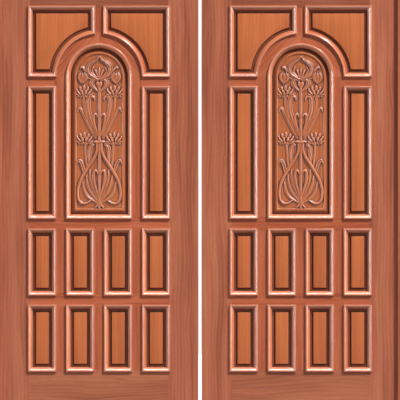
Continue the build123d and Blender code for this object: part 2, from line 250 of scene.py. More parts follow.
def moulding_section():
    """A rounded nose at the outer edge, a rounded shoulder, a straight slope and a short toe."""
    width = MOULDING_LAP + MOULDING_REACH
    height = MOULDING_CREST - TONGUE
    shares = []
    for step in range(NOSE_STEPS + 1):
        turn = math.pi / 2 * step / NOSE_STEPS
        rise = NOSE_FOOT_SHARE + (1 - NOSE_FOOT_SHARE) * math.sin(turn)
        shares.append((NOSE_WIDTH_SHARE * (1 - math.cos(turn)), rise))
    fall = (1 - SLOPE_END_HEIGHT_SHARE) / (SLOPE_END_SHARE - SLOPE_TOP_SHARE)
    shoulder = (SHOULDER_SHARE, 1 - fall * (SHOULDER_SHARE - SLOPE_TOP_SHARE))
    shares += bend(shares[-1], (SLOPE_TOP_SHARE, 1.0), shoulder, SHOULDER_STEPS)
    shares += [(SLOPE_END_SHARE, SLOPE_END_HEIGHT_SHARE), (1.0, TOE_HEIGHT_SHARE)]
    front = [(across * width - MOULDING_LAP, TONGUE + up * height) for across, up in shares]
    return front + [(MOULDING_REACH, TONGUE), (ARRIS, TONGUE), (ARRIS, FACE), (-MOULDING_LAP, FACE)]


def mitred_moulding(outline, board):
    section = moulding_section()
    points, faces = skin_rings(rings_of(outline, section), True)
    return points, faces, strip_grain(outline, section, board)


def arch_rail(board):
    """A half ring in two halves, with grain that runs straight along each."""
    groove = GROOVE_DEPTH
    section = [
        (ARCH_OUTER, FACE), (ARCH_RADIUS, FACE), (ARCH_RADIUS, TONGUE), (ARCH_RADIUS + groove, TONGUE),
        (ARCH_RADIUS + groove, -TONGUE), (ARCH_RADIUS, -TONGUE), (ARCH_RADIUS, -FACE),
        (ARCH_OUTER, -FACE), (ARCH_OUTER, -TONGUE), (ARCH_OUTER - groove, -TONGUE),
        (ARCH_OUTER - groove, TONGUE), (ARCH_OUTER, TONGUE),
    ]
    rings = []
    for step in range(ARC_STEPS + 1):
        turn = math.pi * step / ARC_STEPS
        rings.append([
            (radius * math.cos(turn), SPRINGING + radius * math.sin(turn), height)
            for radius, height in section
        ])
    points, faces = skin_rings(rings, False)
    grain = []
    slant = math.sqrt(0.5)
    for face in faces:
        side = math.copysign(1, sum(points[corner][0] for corner in face))
        shift = (board + side) * BOARD_SHIFT
        places = [points[corner][:2] for corner in face]
        grain.append([(slant * (x - side * y) + shift, slant * (x + side * y)) for x, y in places])
    return points, faces, grain


# Carved panel: plants in relief on a sunk ground, inside a plain rim
CARVED_INSET = CARVED_FOOT + BEVEL_WIDTH
CARVED_HALF = ARCH_RADIUS - CARVED_INSET
CARVED_BASE = SIDE_FOOT + CARVED_INSET
CARVED_RISE = SPRINGING - CARVED_BASE
RIM_WIDTH = 5.5
RIM_SLOPE = 3.5
GROUND_DEPTH = 5.0
CARVED_COLUMNS = 160
CARVED_ROWS = 430
CARVED_ARC_ROWS = 84
STROKE_STEP = 2.0
LEAST_RUN = 1e-9
# How far a point stands above or below its smoothed surroundings sets the painted shade in creases and the
# painted highlight on crests
CREASE_PASSES = 14
CREASE_DEPTH = 1.6

# How high each kind of form stands over the ground
STEM_RISE = 8.0
WHIP_RISE = 8.5
LEAF_RISE = 7.5
BLADE_RISE = 6.0
PETAL_RISE = 10.0
INNER_PETAL_RISE = 5.0
FALL_RISE = 8.0
HEART_RISE = 10.0
CREST_RISE = 7.5
BUD_RISE = 8.0

# Sections of the forms: a leaf has a groove down its middle, and a ridged form a rib and raised edges.
# The higher the power, the squarer the edge.
EDGE_POWERS = {"round": 2, "leaf": 4, "ridged": 8}
LEAF_GROOVE_SHARE, LEAF_GROOVE_WIDTH_SHARE = 0.5, 0.3
RIB_SHARE = 0.24

# One half of the plants, mirrored about the main stem. Across is a share of the field's half width,
# up is a share of the height to the springing, and the last value is the stroke's half width as a
# share of the field's half width.
PLANT_SHARES = (
    ("round", STEM_RISE, (
        (0.0, 0.02, 0.045), (0.0, 0.06, 0.065), (0.0, 0.45, 0.068), (0.0, 0.91, 0.072),
    )),
    # Standards of the bloom, the petals inside them and the crest between
    ("ridged", PETAL_RISE, (
        (0.02, 1.15, 0.03), (0.1, 1.128, 0.05), (0.28, 1.108, 0.075), (0.43, 1.08, 0.095),
        (0.46, 1.048, 0.1), (0.38, 1.018, 0.095), (0.2, 0.996, 0.075), (0.03, 0.98, 0.04),
    )),
    ("round", INNER_PETAL_RISE, (
        (0.24, 1.072, 0.02), (0.3, 1.045, 0.035), (0.22, 1.018, 0.04), (0.06, 0.99, 0.03),
    )),
    ("round", CREST_RISE, (
        (0.0, 1.07, 0.02), (0.0, 1.048, 0.06), (0.0, 1.02, 0.045), (0.0, 0.99, 0.03),
    )),
    ("round", CREST_RISE, ((0.17, 1.05, 0.02), (0.13, 1.04, 0.05), (0.05, 0.995, 0.03))),
    # Falls that droop on each side, and the heart-shaped one in the middle
    ("ridged", FALL_RISE, (
        (0.05, 0.972, 0.035), (0.2, 0.98, 0.07), (0.31, 0.958, 0.1),
        (0.25, 0.928, 0.09), (0.06, 0.893, 0.035),
    )),
    ("round", HEART_RISE, ((0.065, 0.956, 0.055), (0.045, 0.942, 0.085), (0.0, 0.905, 0.03))),
    # Bud beside the bloom, its stalk and the curl above it
    ("round", BUD_RISE, (
        (0.7, 0.948, 0.02), (0.575, 0.975, 0.07), (0.545, 1.003, 0.085), (0.6, 1.03, 0.03),
    )),
    ("round", BUD_RISE, (
        (0.7, 0.948, 0.02), (0.81, 0.978, 0.07), (0.83, 1.003, 0.075), (0.78, 1.026, 0.03),
    )),
    ("round", LEAF_RISE, (
        (0.7, 0.95, 0.03), (0.69, 0.98, 0.08), (0.69, 1.005, 0.085), (0.69, 1.022, 0.03),
    )),
    ("round", BLADE_RISE, ((0.5, 0.995, 0.03), (0.36, 0.984, 0.03), (0.2, 0.974, 0.03))),
    ("round", LEAF_RISE, (
        (0.57, 1.04, 0.03), (0.63, 1.06, 0.06), (0.71, 1.072, 0.06), (0.77, 1.064, 0.035),
    )),
    # Hooked leaf, the flower stem beside it and the long leaf outside
    ("ridged", LEAF_RISE, (
        (0.19, 0.826, 0.03), (0.23, 0.845, 0.05), (0.33, 0.852, 0.07), (0.43, 0.836, 0.095),
        (0.465, 0.8, 0.115), (0.45, 0.75, 0.12), (0.37, 0.695, 0.11),
        (0.26, 0.64, 0.09), (0.12, 0.56, 0.06),
    )),
    ("round", BLADE_RISE, (
        (0.635, 0.87, 0.055), (0.64, 0.81, 0.06), (0.6, 0.745, 0.06), (0.5, 0.69, 0.055),
    )),
    ("ridged", BLADE_RISE, (
        (0.905, 0.738, 0.03), (0.86, 0.758, 0.05), (0.78, 0.76, 0.065), (0.69, 0.735, 0.075),
        (0.56, 0.685, 0.08), (0.38, 0.617, 0.075), (0.15, 0.54, 0.055),
    )),
    # Inner curl
    ("round", LEAF_RISE, (
        (0.07, 0.698, 0.03), (0.12, 0.716, 0.045), (0.2, 0.716, 0.06), (0.245, 0.69, 0.07),
        (0.22, 0.65, 0.07), (0.15, 0.61, 0.06), (0.06, 0.56, 0.04),
    )),
    # Binding, and the sepals that run out level from it
    ("round", PETAL_RISE, ((0.05, 0.51, 0.06), (0.13, 0.512, 0.07), (0.2, 0.512, 0.035))),
    ("round", BLADE_RISE, (
        (0.2, 0.503, 0.025), (0.4, 0.5, 0.035), (0.7, 0.503, 0.04), (0.92, 0.51, 0.025),
    )),
    # Whiplash stem that runs down and turns back at the foot
    ("round", WHIP_RISE, (
        (0.1, 0.5, 0.05), (0.1, 0.444, 0.065), (0.23, 0.387, 0.072), (0.42, 0.335, 0.072),
        (0.61, 0.278, 0.072), (0.77, 0.221, 0.07), (0.865, 0.165, 0.065), (0.885, 0.118, 0.06),
        (0.84, 0.076, 0.06), (0.7, 0.05, 0.06), (0.52, 0.053, 0.05), (0.36, 0.072, 0.03),
    )),
    # Low leaf and the stem of the lower flower head
    ("ridged", LEAF_RISE, (
        (0.22, 0.487, 0.03), (0.3, 0.485, 0.065), (0.38, 0.46, 0.1), (0.41, 0.415, 0.105),
        (0.4, 0.37, 0.075), (0.39, 0.33, 0.035),
    )),
    ("round", BLADE_RISE, (
        (0.585, 0.5, 0.055), (0.57, 0.432, 0.058), (0.54, 0.368, 0.055), (0.48, 0.3, 0.045),
    )),
    # Curled leaf at the edge
    ("leaf", LEAF_RISE, (
        (0.92, 0.345, 0.025), (0.89, 0.366, 0.045), (0.81, 0.372, 0.065), (0.73, 0.352, 0.085),
        (0.66, 0.315, 0.085), (0.6, 0.272, 0.055),
    )),
    # Fan of leaves at the foot
    ("round", LEAF_RISE, (
        (0.06, 0.272, 0.03), (0.11, 0.292, 0.05), (0.19, 0.293, 0.065), (0.24, 0.265, 0.072),
        (0.22, 0.22, 0.07), (0.16, 0.175, 0.06), (0.05, 0.11, 0.045),
    )),
    ("ridged", BLADE_RISE, (
        (0.39, 0.3, 0.03), (0.37, 0.245, 0.065), (0.28, 0.18, 0.075), (0.05, 0.075, 0.045),
    )),
    ("ridged", BLADE_RISE, (
        (0.53, 0.255, 0.03), (0.48, 0.195, 0.065), (0.35, 0.135, 0.075), (0.05, 0.06, 0.045),
    )),
    ("ridged", BLADE_RISE, (
        (0.68, 0.205, 0.03), (0.6, 0.14, 0.065), (0.43, 0.095, 0.07), (0.06, 0.052, 0.04),
    )),
    ("round", LEAF_RISE, ((0.03, 0.058, 0.04), (0.09, 0.034, 0.05), (0.18, 0.018, 0.025))),
)
# Flower heads: the foot of each, then the petals of one side as rise and points with half widths
FLOWER_HEAD_SHARES = ((0.63, 0.862), (0.61, 0.508))
PETALS = (
    (BUD_RISE, ((0.0, 21.0, 4.0), (0.0, 33.0, 8.5), (0.0, 42.0, 5.0))),
    (BUD_RISE, ((14.0, 18.0, 3.0), (17.0, 28.0, 7.5), (19.0, 36.0, 4.5))),
    (LEAF_RISE, ((25.0, 9.0, 3.0), (30.0, 18.0, 6.0), (34.0, 27.0, 4.0))),
    (PETAL_RISE, ((7.0, 3.0, 3.0), (9.0, 12.0, 7.5), (9.0, 20.0, 5.0))),
    (PETAL_RISE, ((16.0, 2.0, 3.0), (22.0, 8.0, 6.5), (26.0, 14.0, 4.5))),
    (LEAF_RISE, ((24.0, -1.0, 3.0), (31.0, 2.0, 5.0), (37.0, 5.0, 3.0))),
    (BLADE_RISE, ((3.0, -1.0, 4.0), (9.0, -5.0, 5.5), (13.0, -9.0, 4.0))),
    (BLADE_RISE, ((16.0, -3.0, 4.0), (23.0, -5.0, 5.5), (29.0, -8.0, 4.0))),
)


def plant_strokes():
    """Strokes on both sides of the stem, as section, rise and points with half widths, in millimetres."""
    strokes = []
    for section, rise, shares in PLANT_SHARES:
        strokes.append((section, rise, [
            (across * CARVED_HALF, up * CARVED_RISE, wide * CARVED_HALF) for across, up, wide in shares
        ]))
    for across, up in FLOWER_HEAD_SHARES:
        foot_x, foot_y = across * CARVED_HALF, up * CARVED_RISE
        for rise, petal in PETALS:
            for side in (-1, 1):
                placed = [(foot_x + side * x, foot_y + y, wide) for x, y, wide in petal]
                strokes.append(("round", rise, placed))
    mirror_image = [
        (section, rise, [(-x, y, wide) for x, y, wide in points]) for section, rise, points in strokes
    ]
    return strokes + mirror_image


def smooth_path(points):
    """Points of a curve that passes through the given ones, about a stroke step apart."""
    given = np.array(points, float)
    ends = np.vstack((2 * given[0] - given[1], given, 2 * given[-1] - given[-2]))
    path = []
    for a, b, c, d in zip(ends, ends[1:], ends[2:], ends[3:]):
        steps = max(2, int(np.hypot(*(c - b)[:2]) / STROKE_STEP))
        part = np.linspace(0, 1, steps, endpoint=False)[:, None]
        path.append(0.5 * (
            2 * b + (c - a) * part + (2 * a - 5 * b + 4 * c - d) * part ** 2
            + (3 * b - a - 3 * c + d) * part ** 3
        ))
    return np.vstack(path + [given[-1:]])


def section_height(section, part):
    """Height of a stroke's section, from its middle at 0 to its edge at 1."""
    body = np.sqrt(np.clip(1 - part ** EDGE_POWERS[section], 0, 1))
    if section == "leaf":
        body = body * (1 - LEAF_GROOVE_SHARE * np.exp(-((part / LEAF_GROOVE_WIDTH_SHARE) ** 2)))
    if section == "ridged":
        body = body * (1 - RIB_SHARE + RIB_SHARE * np.cos(math.tau * part))
    return body


def raise_stroke(height, x, y, section, rise, points):
    path = smooth_path(points)
    reach = path[:, 2].max() + STROKE_STEP
    low, high = path[:, :2].min(0) - reach, path[:, :2].max(0) + reach
    near = np.nonzero((x > low[0]) & (x < high[0]) & (y > low[1]) & (y < high[1]))
    if not len(near[0]):
        return
    spot = np.stack((x[near], y[near]), 1)
    best = np.full(len(spot), np.inf)
    for start, end in zip(path, path[1:]):
        run = end[:2] - start[:2]
        along = np.clip((spot - start[:2]) @ run / max(run @ run, LEAST_RUN), 0, 1)
        gap = np.hypot(*(spot - start[:2] - along[:, None] * run).T)
        best = np.minimum(best, gap / (start[2] + along * (end[2] - start[2])))
    inside = best < 1
    risen = rise * section_height(section, best)
    height[near] = np.where(inside, np.maximum(height[near], risen), height[near])


def carved_grid():
    """Places on the carved field, row by row: straight up to the springing, then along the arch."""
    across = np.linspace(-1, 1, CARVED_COLUMNS + 1)
    rows_y = np.concatenate((
        np.linspace(0, CARVED_RISE, CARVED_ROWS + 1),
        CARVED_RISE + CARVED_HALF * np.sin(np.linspace(0, math.pi / 2, CARVED_ARC_ROWS + 2)[1:-1]),
    ))
    over = np.clip(rows_y - CARVED_RISE, 0, None)
    rows_half = np.sqrt(CARVED_HALF ** 2 - over ** 2)
    return rows_half[:, None] * across, np.repeat(rows_y[:, None], len(across), 1)


def eased(height, passes):
    """A field of heights, evened out with its neighbours a number of times."""
    height = height.copy()
    for _ in range(passes):
        inner = height[1:-1, 1:-1]
        sides = height[:-2, 1:-1] + height[2:, 1:-1] + height[1:-1, :-2] + height[1:-1, 2:]
        height[1:-1, 1:-1] = inner / 2 + sides / 8
    return height


def carved_heights(x, y):
    height = np.zeros_like(x)
    for section, rise, points in plant_strokes():
        raise_stroke(height, x, y, section, rise, points)
    over = np.clip(y - CARVED_RISE, 0, None)
    edge = np.minimum(CARVED_HALF - np.hypot(x, over), y)
    rim = np.clip((RIM_WIDTH + RIM_SLOPE - edge) / RIM_SLOPE, 0, 1)
    height = np.maximum(height, GROUND_DEPTH * rim * rim * (3 - 2 * rim))
    # Carved edges are rounded a little by sanding
    return eased(height, 1)


def carved_panel(board):
    """The carved panel's skin, and how far each point stands above or below its surroundings."""
    x, y = carved_grid()
    rows, columns = x.shape
    height = carved_heights(x, y)
    relief = ((height - eased(height, CREASE_PASSES)) / CREASE_DEPTH).ravel().tolist()
    height = height + FIELD - GROUND_DEPTH
    points = list(zip(x.ravel().tolist(), (y + CARVED_BASE).ravel().tolist(), height.ravel().tolist()))
    faces = [
        (spot, spot + 1, spot + columns + 1, spot + columns)
        for row in range(rows - 1)
        for spot in range(row * columns, (row + 1) * columns - 1)
    ]
    rim = list(range(columns)) + [row * columns + columns - 1 for row in range(1, rows)]
    rim += [(rows - 1) * columns + step for step in reversed(range(columns - 1))]
    rim += [row * columns for row in reversed(range(1, rows - 1))]
    edge = TONGUE_PLAY - GROOVE_DEPTH
    steps = [
        (CARVED_FOOT, TONGUE), (edge, TONGUE), (edge, -TONGUE),
        (CARVED_FOOT, -TONGUE), (CARVED_INSET, -FIELD),
    ]
    last = rim
    for inset, level in steps:
        ring = range(len(points), len(points) + len(rim))
        points += [widened(points[spot], inset) + (level,) for spot in rim]
        for here, ahead in zip(range(len(rim)), [*range(1, len(rim)), 0]):
            faces.append((last[ahead], last[here], ring[here], ring[ahead]))
        last = ring
    faces.append(tuple(last))
    relief += [0.0] * (len(points) - len(relief))
    return (points, faces, upright_grain(points, faces, board)), relief


def widened(point, inset):
    """A point of the carved field's edge, moved out to the outline at another inset."""
    grow = CARVED_INSET - inset
    x, y = point[0], point[1]
    if y > SPRINGING:
        scale = (CARVED_HALF + grow) / CARVED_HALF
        return x * scale, SPRINGING + (y - SPRINGING) * scale
    up = (y - CARVED_BASE) / CARVED_RISE
    return x * (CARVED_HALF + grow) / CARVED_HALF, y - grow * (1 - up)


# Mesh objects
def gather(skins):
    points, faces, grain = [], [], []
    for more_points, more_faces, more_grain in skins:
        more_faces, more_grain = outward(more_points, more_faces, more_grain)
        first = len(points)
        points += more_points
        faces += [tuple(corner + first for corner in face) for face in more_faces]
        grain += more_grain
    return points, faces, grain


def outward(points, faces, grain):
    """Turns the faces of a closed skin to look out."""
    spots = np.array(points)
    fans = [(face[0], face[step], face[step + 1]) for face in faces for step in range(1, len(face) - 1)]
    first, second, third = (spots[list(corners)] for corners in zip(*fans))
    if np.sum(first * np.cross(second, third)) > 0:
        return faces, grain
    return [face[::-1] for face in faces], [corners[::-1] for corners in grain]


def make_object(name, points, faces, grain, sharp_turn):
    mesh = bpy.data.meshes.new(name)
    mesh.from_pydata([tuple(MM * value for value in point) for point in points], [], faces)
    layer = mesh.uv_layers.new(name="Grain")
    places = [MM * value for corners in grain for corner in corners for value in corner]
    layer.data.foreach_set("uv", places)
    shaper = bmesh.new()
    shaper.from_mesh(mesh)
    for face in shaper.faces:
        face.smooth = True
    for edge in shaper.edges:
        edge.smooth = edge.calc_face_angle(0) < math.radians(sharp_turn)
    shaper.to_mesh(mesh)
    shaper.free()
    made = bpy.data.objects.new(name, mesh)
    bpy.context.scene.collection.objects.link(made)
    return made


def dress(made, material, body, node):
    """Gives a piece its material and the body it moves with, and lets it stand for a plain solid."""
    made.data.materials.append(material)
    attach(made, body)
    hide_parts(node)
    return made


def leaf_piece(leaf, node, skins, material, sharp_turn=SHARP_TURN):
    middle = LEAF_MIDDLE if leaf == "left" else -LEAF_MIDDLE
    points, faces, grain = gather(skins)
    placed = [(middle + x, MIDDLE_Y - z, LEAF_FOOT + y) for x, y, z in points]
    made = make_object(f"{leaf}_leaf_{node}", placed, faces, grain, sharp_turn)
    return dress(made, material, f"{leaf}_leaf", f"{leaf}_{node}")


# Colour and nodes
def linear(code):
    """An sRGB hex colour as linear red, green, blue and alpha."""
    values = [int(code[spot:spot + 2], 16) / 255 for spot in (1, 3, 5)]
    return tuple(v / 12.92 if v <= 0.04045 else ((v + 0.055) / 1.055) ** 2.4 for v in values) + (1.0,)


def add(tree, kind, inputs=None, stops=(), **settings):
    """Adds a node. Settings are its own properties, and an input is a value or the output that feeds it."""
    made = tree.nodes.new(kind)
    for name, value in settings.items():
        setattr(made, name, value)
    for key, value in (inputs or {}).items():
        if isinstance(value, bpy.types.NodeSocket):
            tree.links.new(value, made.inputs[key])
        else:
            made.inputs[key].default_value = value
    for spot, (place, colour) in enumerate(stops):
        ramp = made.color_ramp.elements
        stop = ramp[spot] if spot < len(ramp) else ramp.new(1.0)
        stop.position, stop.color = place, colour
    return made


def per_size(along, across):
    """Scale of a pattern whose features are so long and so wide, in millimetres."""
    return (1 / (along * MM), 1 / (across * MM), 1 / (across * MM))


def new_material(name):
    material = bpy.data.materials.new(name)
    material.use_nodes = True
    material.node_tree.nodes.clear()
    return material, material.node_tree


# Lacquered mahogany, planed and sanded. The eye sees long soft bands of colour along each board,
# a finer ribbon from interlocked grain, brown pores and a satin lacquer that softens highlights.
BAND_LENGTH = 900.0
BROAD_BAND, FINE_BAND = 62.0, 34.0
RIBBON_LENGTH, RIBBON_WIDTH = 360.0, 13.0
RING_WIDTH = 17.0
RING_WAVER, RING_WAVER_SCALE = 2.5, 0.6
WANDER_LENGTH, WANDER_WIDTH = 420.0, 130.0
# A noise varies about this middle
NOISE_MIDDLE = (0.5, 0.5, 0.5)
# Blender's waves lie this far apart at a scale of 1
WAVE_SPACING = math.tau / 20
# What each pattern adds to the tone, from dark to light, and where the three tones lie
BAND_SHARE, RIBBON_SHARE, RING_SHARE = 0.72, 0.2, 0.08
TONE_PLACES = (0.34, 0.5, 0.66)
# No two boards have quite the same tone
BOARD_TINT = 0.5
# Real pores are about 0.2 mm wide: they are drawn coarser, so that they show
PORE_LENGTH, PORE_WIDTH = 26.0, 1.5
PORE_DEPTH = 0.25
PORE_DENT = 0.35
PORE_EDGE, PORE_MIDDLE, PORE_DARKNESS = 0.62, 0.78, 0.3
# The ribbon takes the lacquer unevenly
RIBBON_DARK, RIBBON_PALE = 0.3, 0.7
SMOOTHER, DULLER = 0.04, 0.06
# Painted shade: a dark tone laid into corners and recesses, more where they are more sheltered. It stands
# for shade, and in part for a dark glaze wiped on before the lacquer.
PAINTED_SHADE_TONE = "#2A1019"
PAINTED_SHADE_SAMPLES = 8
# On the carving, shade is painted into the creases and a pale highlight onto the crests
CREASE_PAINTED_SHADE = 1.0
CREASE_EDGE, CREASE_MIDDLE = -0.2, -0.8
CREST_PAINTED_HIGHLIGHT = 0.6
CREST_HIGHLIGHT_TONE = "#CE947E"
CREST_EDGE, CREST_MIDDLE = 0.1, 1.0
# The mouldings have a harder lacquer, which draws paler lines of light
LACQUER_IOR, HARD_LACQUER_IOR = 1.5, 1.7


def lacquered_mahogany(
    name, tones, grain, band=FINE_BAND, stretch=0.0, wander=10.0, roughness=0.4, gloss=0.32,
    coat=0.0, polish=0.2, lacquer=LACQUER_IOR, painted_shade=0.6, reach=6.0, full=0.4, clear=0.7, carved=False,
):
    """Wood for one kind of board. Tones are dark, even, light and the pores'. Grain is a strip's own,
    upright or level. Painted shade reaches its full amount in the full shelter, and none in the clear."""
    material, tree = new_material(name)
    if grain == "strip":
        board = add(tree, "ShaderNodeUVMap", uv_map="Grain").outputs["UV"]
    else:
        place = add(tree, "ShaderNodeTexCoord").outputs["Object"]
        place = add(tree, "ShaderNodeVectorMath", {0: place, 1: (stretch * MM,) * 3}).outputs[0]
        axes = add(tree, "ShaderNodeSeparateXYZ", {0: place}).outputs
        order = {"upright": ("Z", "X", "Y"), "level": ("X", "Z", "Y")}[grain]
        turned_axes = {spot: axes[axis] for spot, axis in enumerate(order)}
        board = add(tree, "ShaderNodeCombineXYZ", turned_axes).outputs[0]

    def pattern(source, along, across, detail):
        size = per_size(along, across)
        sized = add(tree, "ShaderNodeVectorMath", {0: source, 1: size}, operation="MULTIPLY").outputs[0]
        return add(tree, "ShaderNodeTexNoise", {"Vector": sized, "Scale": 1.0, "Detail": detail}).outputs

    drift = pattern(board, WANDER_LENGTH, WANDER_WIDTH, detail=1.0)["Color"]
    centred = add(
        tree, "ShaderNodeVectorMath", {0: drift, 1: NOISE_MIDDLE}, operation="SUBTRACT",
    ).outputs[0]
    swing = (0.0, 2 * wander * MM, 2 * wander * MM)
    sway = add(
        tree, "ShaderNodeVectorMath", {0: centred, 1: swing, 2: board}, operation="MULTIPLY_ADD",
    ).outputs[0]
    bands = pattern(sway, BAND_LENGTH, band, detail=3.0)["Fac"]
    ribbon = pattern(sway, RIBBON_LENGTH, RIBBON_WIDTH, detail=2.0)["Fac"]
    rings = add(tree, "ShaderNodeTexWave", {
        "Vector": sway, "Scale": WAVE_SPACING / (RING_WIDTH * MM),
        "Distortion": RING_WAVER, "Detail": 2.0, "Detail Scale": RING_WAVER_SCALE,
    }, bands_direction="Y").outputs["Fac"]
    mixed = 0.0
    for source, share in ((bands, BAND_SHARE), (ribbon, RIBBON_SHARE), (rings, RING_SHARE)):
        mixed = add(
            tree, "ShaderNodeMath", {0: source, 1: share, 2: mixed}, operation="MULTIPLY_ADD",
        ).outputs[0]
    if grain == "strip":
        tint = pattern(board, BOARD_SHIFT, BOARD_SHIFT, detail=0.0)["Fac"]
        mixed = add(
            tree, "ShaderNodeMath", {0: tint, 1: BOARD_TINT, 2: mixed}, operation="MULTIPLY_ADD",
        ).outputs[0]
        mixed = add(tree, "ShaderNodeMath", {0: mixed, 1: BOARD_TINT / 2}, operation="SUBTRACT").outputs[0]
    *timber_tones, pore_tone = (linear(tone) for tone in tones)
    stops = tuple(zip(TONE_PLACES, timber_tones))
    colour = add(tree, "ShaderNodeValToRGB", {0: mixed}, stops=stops).outputs[0]

    pores = pattern(sway, PORE_LENGTH, PORE_WIDTH, detail=0.0)["Fac"]
    flecks = add(
        tree, "ShaderNodeMapRange", {0: pores, 1: PORE_EDGE, 2: PORE_MIDDLE, 3: 0.0, 4: PORE_DARKNESS},
    ).outputs[0]
    # Painted shade, by how sheltered each point is
    shelter = add(
        tree, "ShaderNodeAmbientOcclusion", {"Distance": reach * MM}, samples=PAINTED_SHADE_SAMPLES,
    ).outputs["AO"]
    painted_shade_amount = add(
        tree, "ShaderNodeMapRange", {0: shelter, 1: full, 2: clear, 3: painted_shade, 4: 0.0},
    ).outputs[0]
    layers = [(flecks, pore_tone), (painted_shade_amount, linear(PAINTED_SHADE_TONE))]
    if carved:
        relief = add(tree, "ShaderNodeAttribute", attribute_name="Relief").outputs["Fac"]
        # Painted highlight on the crests of the carving
        painted_crest_highlight = add(tree, "ShaderNodeMapRange", {
            0: relief, 1: CREST_EDGE, 2: CREST_MIDDLE, 3: 0.0, 4: CREST_PAINTED_HIGHLIGHT,
        }).outputs[0]
        # Painted shade in the creases of the carving
        painted_crease_shade = add(tree, "ShaderNodeMapRange", {
            0: relief, 1: CREASE_EDGE, 2: CREASE_MIDDLE, 3: 0.0, 4: CREASE_PAINTED_SHADE,
        }).outputs[0]
        layers += [(painted_crest_highlight, linear(CREST_HIGHLIGHT_TONE)), (painted_crease_shade, linear(PAINTED_SHADE_TONE))]
    for amount, tone in layers:
        colour = add(
            tree, "ShaderNodeMix", {0: amount, 6: colour, 7: tone}, data_type="RGBA",
        ).outputs[2]

    dull = add(tree, "ShaderNodeMapRange", {
        0: ribbon, 1: RIBBON_DARK, 2: RIBBON_PALE, 3: roughness - SMOOTHER, 4: roughness + DULLER,
    }).outputs[0]
    dents = add(tree, "ShaderNodeBump", {
        "Height": flecks, "Strength": PORE_DENT, "Distance": PORE_DEPTH * MM,
    }, invert=True).outputs[0]
    surface = add(tree, "ShaderNodeBsdfPrincipled", {
        "Base Color": colour, "Roughness": dull, "IOR": LACQUER_IOR, "Normal": dents,
        "Specular IOR Level": gloss, "Coat Weight": coat, "Coat Roughness": polish, "Coat IOR": lacquer,
    })
    add(tree, "ShaderNodeOutputMaterial", {"Surface": surface.outputs[0]})
    return material


# Tones of the boards: dark, even, light and pores
LEAF_TONES = ("#8B4830", "#A85D41", "#B86E50", "#6C3725")
# The top rails are darker than the other boards: painted shade for light that falls off towards the top of
# the doors
TOP_RAIL_TONES = ("#783C28", "#8C4A33", "#9A583F", "#5C2E20")
END_RAIL_TONES = ("#8A4A32", "#A65D40", "#B46C4C", "#6C3A28")
RAIL_TONES = ("#95462B", "#AE5938", "#BC6A46", "#6A3220")
PANEL_TONES = ("#B46238", "#C26A3E", "#CA7442", "#94502E")
CARVED_TONES = ("#A24E1A", "#B45C24", "#BE682E", "#70361A")
MOULDING_TONES = ("#A85530", "#BE6840", "#CA784E", "#6A3424")

# Every wood below takes painted shade in its corners and recesses
stile_wood = lacquered_mahogany(
    "lacquered_mahogany_stiles", LEAF_TONES, "upright", band=BROAD_BAND, stretch=1500.0, wander=24.0,
)
rail_wood = lacquered_mahogany("lacquered_mahogany_rails", RAIL_TONES, "level", wander=26.0)
end_rail_wood = lacquered_mahogany(
    "lacquered_mahogany_end_rails", END_RAIL_TONES, "level", band=BROAD_BAND, stretch=2110.0, wander=40.0,
)
top_rail_wood = lacquered_mahogany(
    "lacquered_mahogany_top_rails", TOP_RAIL_TONES, "level", band=BROAD_BAND, wander=40.0,
)
bar_wood = lacquered_mahogany("lacquered_mahogany_bars", RAIL_TONES, "upright")
arch_wood = lacquered_mahogany("lacquered_mahogany_arch", RAIL_TONES, "strip")
# The panels take the most painted shade, which darkens their margins as a shadow would
panel_wood = lacquered_mahogany(
    "lacquered_mahogany_panels", PANEL_TONES, "strip", gloss=0.25,
    painted_shade=0.96, reach=20.0, full=0.63, clear=0.92,
)
# The carving takes painted shade in its hollows and creases and a painted highlight on its crests
carved_wood = lacquered_mahogany(
    "lacquered_mahogany_carving", CARVED_TONES, "strip", roughness=0.36, gloss=0.22, coat=0.9, polish=0.34,
    painted_shade=0.6, reach=6.0, full=0.4, clear=0.75, carved=True,
)
# The mouldings take painted shade towards their toes
moulding_wood = lacquered_mahogany(
    "lacquered_mahogany_mouldings", MOULDING_TONES, "strip", gloss=0.3, coat=1.0, lacquer=HARD_LACQUER_IOR,
    painted_shade=0.45, reach=10.0, full=0.35, clear=0.7,
)
frame_wood = lacquered_mahogany("lacquered_mahogany_jambs", LEAF_TONES, "upright")
sill_wood = lacquered_mahogany("lacquered_mahogany_sill", LEAF_TONES, "level")


# Brass, drawn and brushed lengthwise under a clear coat: warm, with fine upright scratches
BRUSH_LENGTH, BRUSH_WIDTH = 18.0, 0.6
BRASS_TONES, BRASS_PLACES = ("#A98445", "#CBA764"), (0.3, 0.7)
BRASS_ROUGHNESS = (0.22, 0.42)
# Steel, turned bright: a grey pin with faint rings from the lathe
LATHE_PITCH = 0.8
LATHE_WAVER = 0.4
STEEL_TONES, STEEL_PLACES = ("#8C8E90", "#B4B6B8"), (0.0, 1.0)
STEEL_ROUGHNESS = (0.25, 0.38)


def brush_marks(tree, place):
    along, across, _ = per_size(BRUSH_LENGTH, BRUSH_WIDTH)
    sized = add(
        tree, "ShaderNodeVectorMath", {0: place, 1: (across, across, along)}, operation="MULTIPLY",
    ).outputs[0]
    return add(tree, "ShaderNodeTexNoise", {"Vector": sized, "Scale": 1.0, "Detail": 2.0}).outputs["Fac"]


def lathe_rings(tree, place):
    return add(tree, "ShaderNodeTexWave", {
        "Vector": place, "Scale": WAVE_SPACING / (LATHE_PITCH * MM), "Distortion": LATHE_WAVER,
    }, bands_direction="Z").outputs["Fac"]


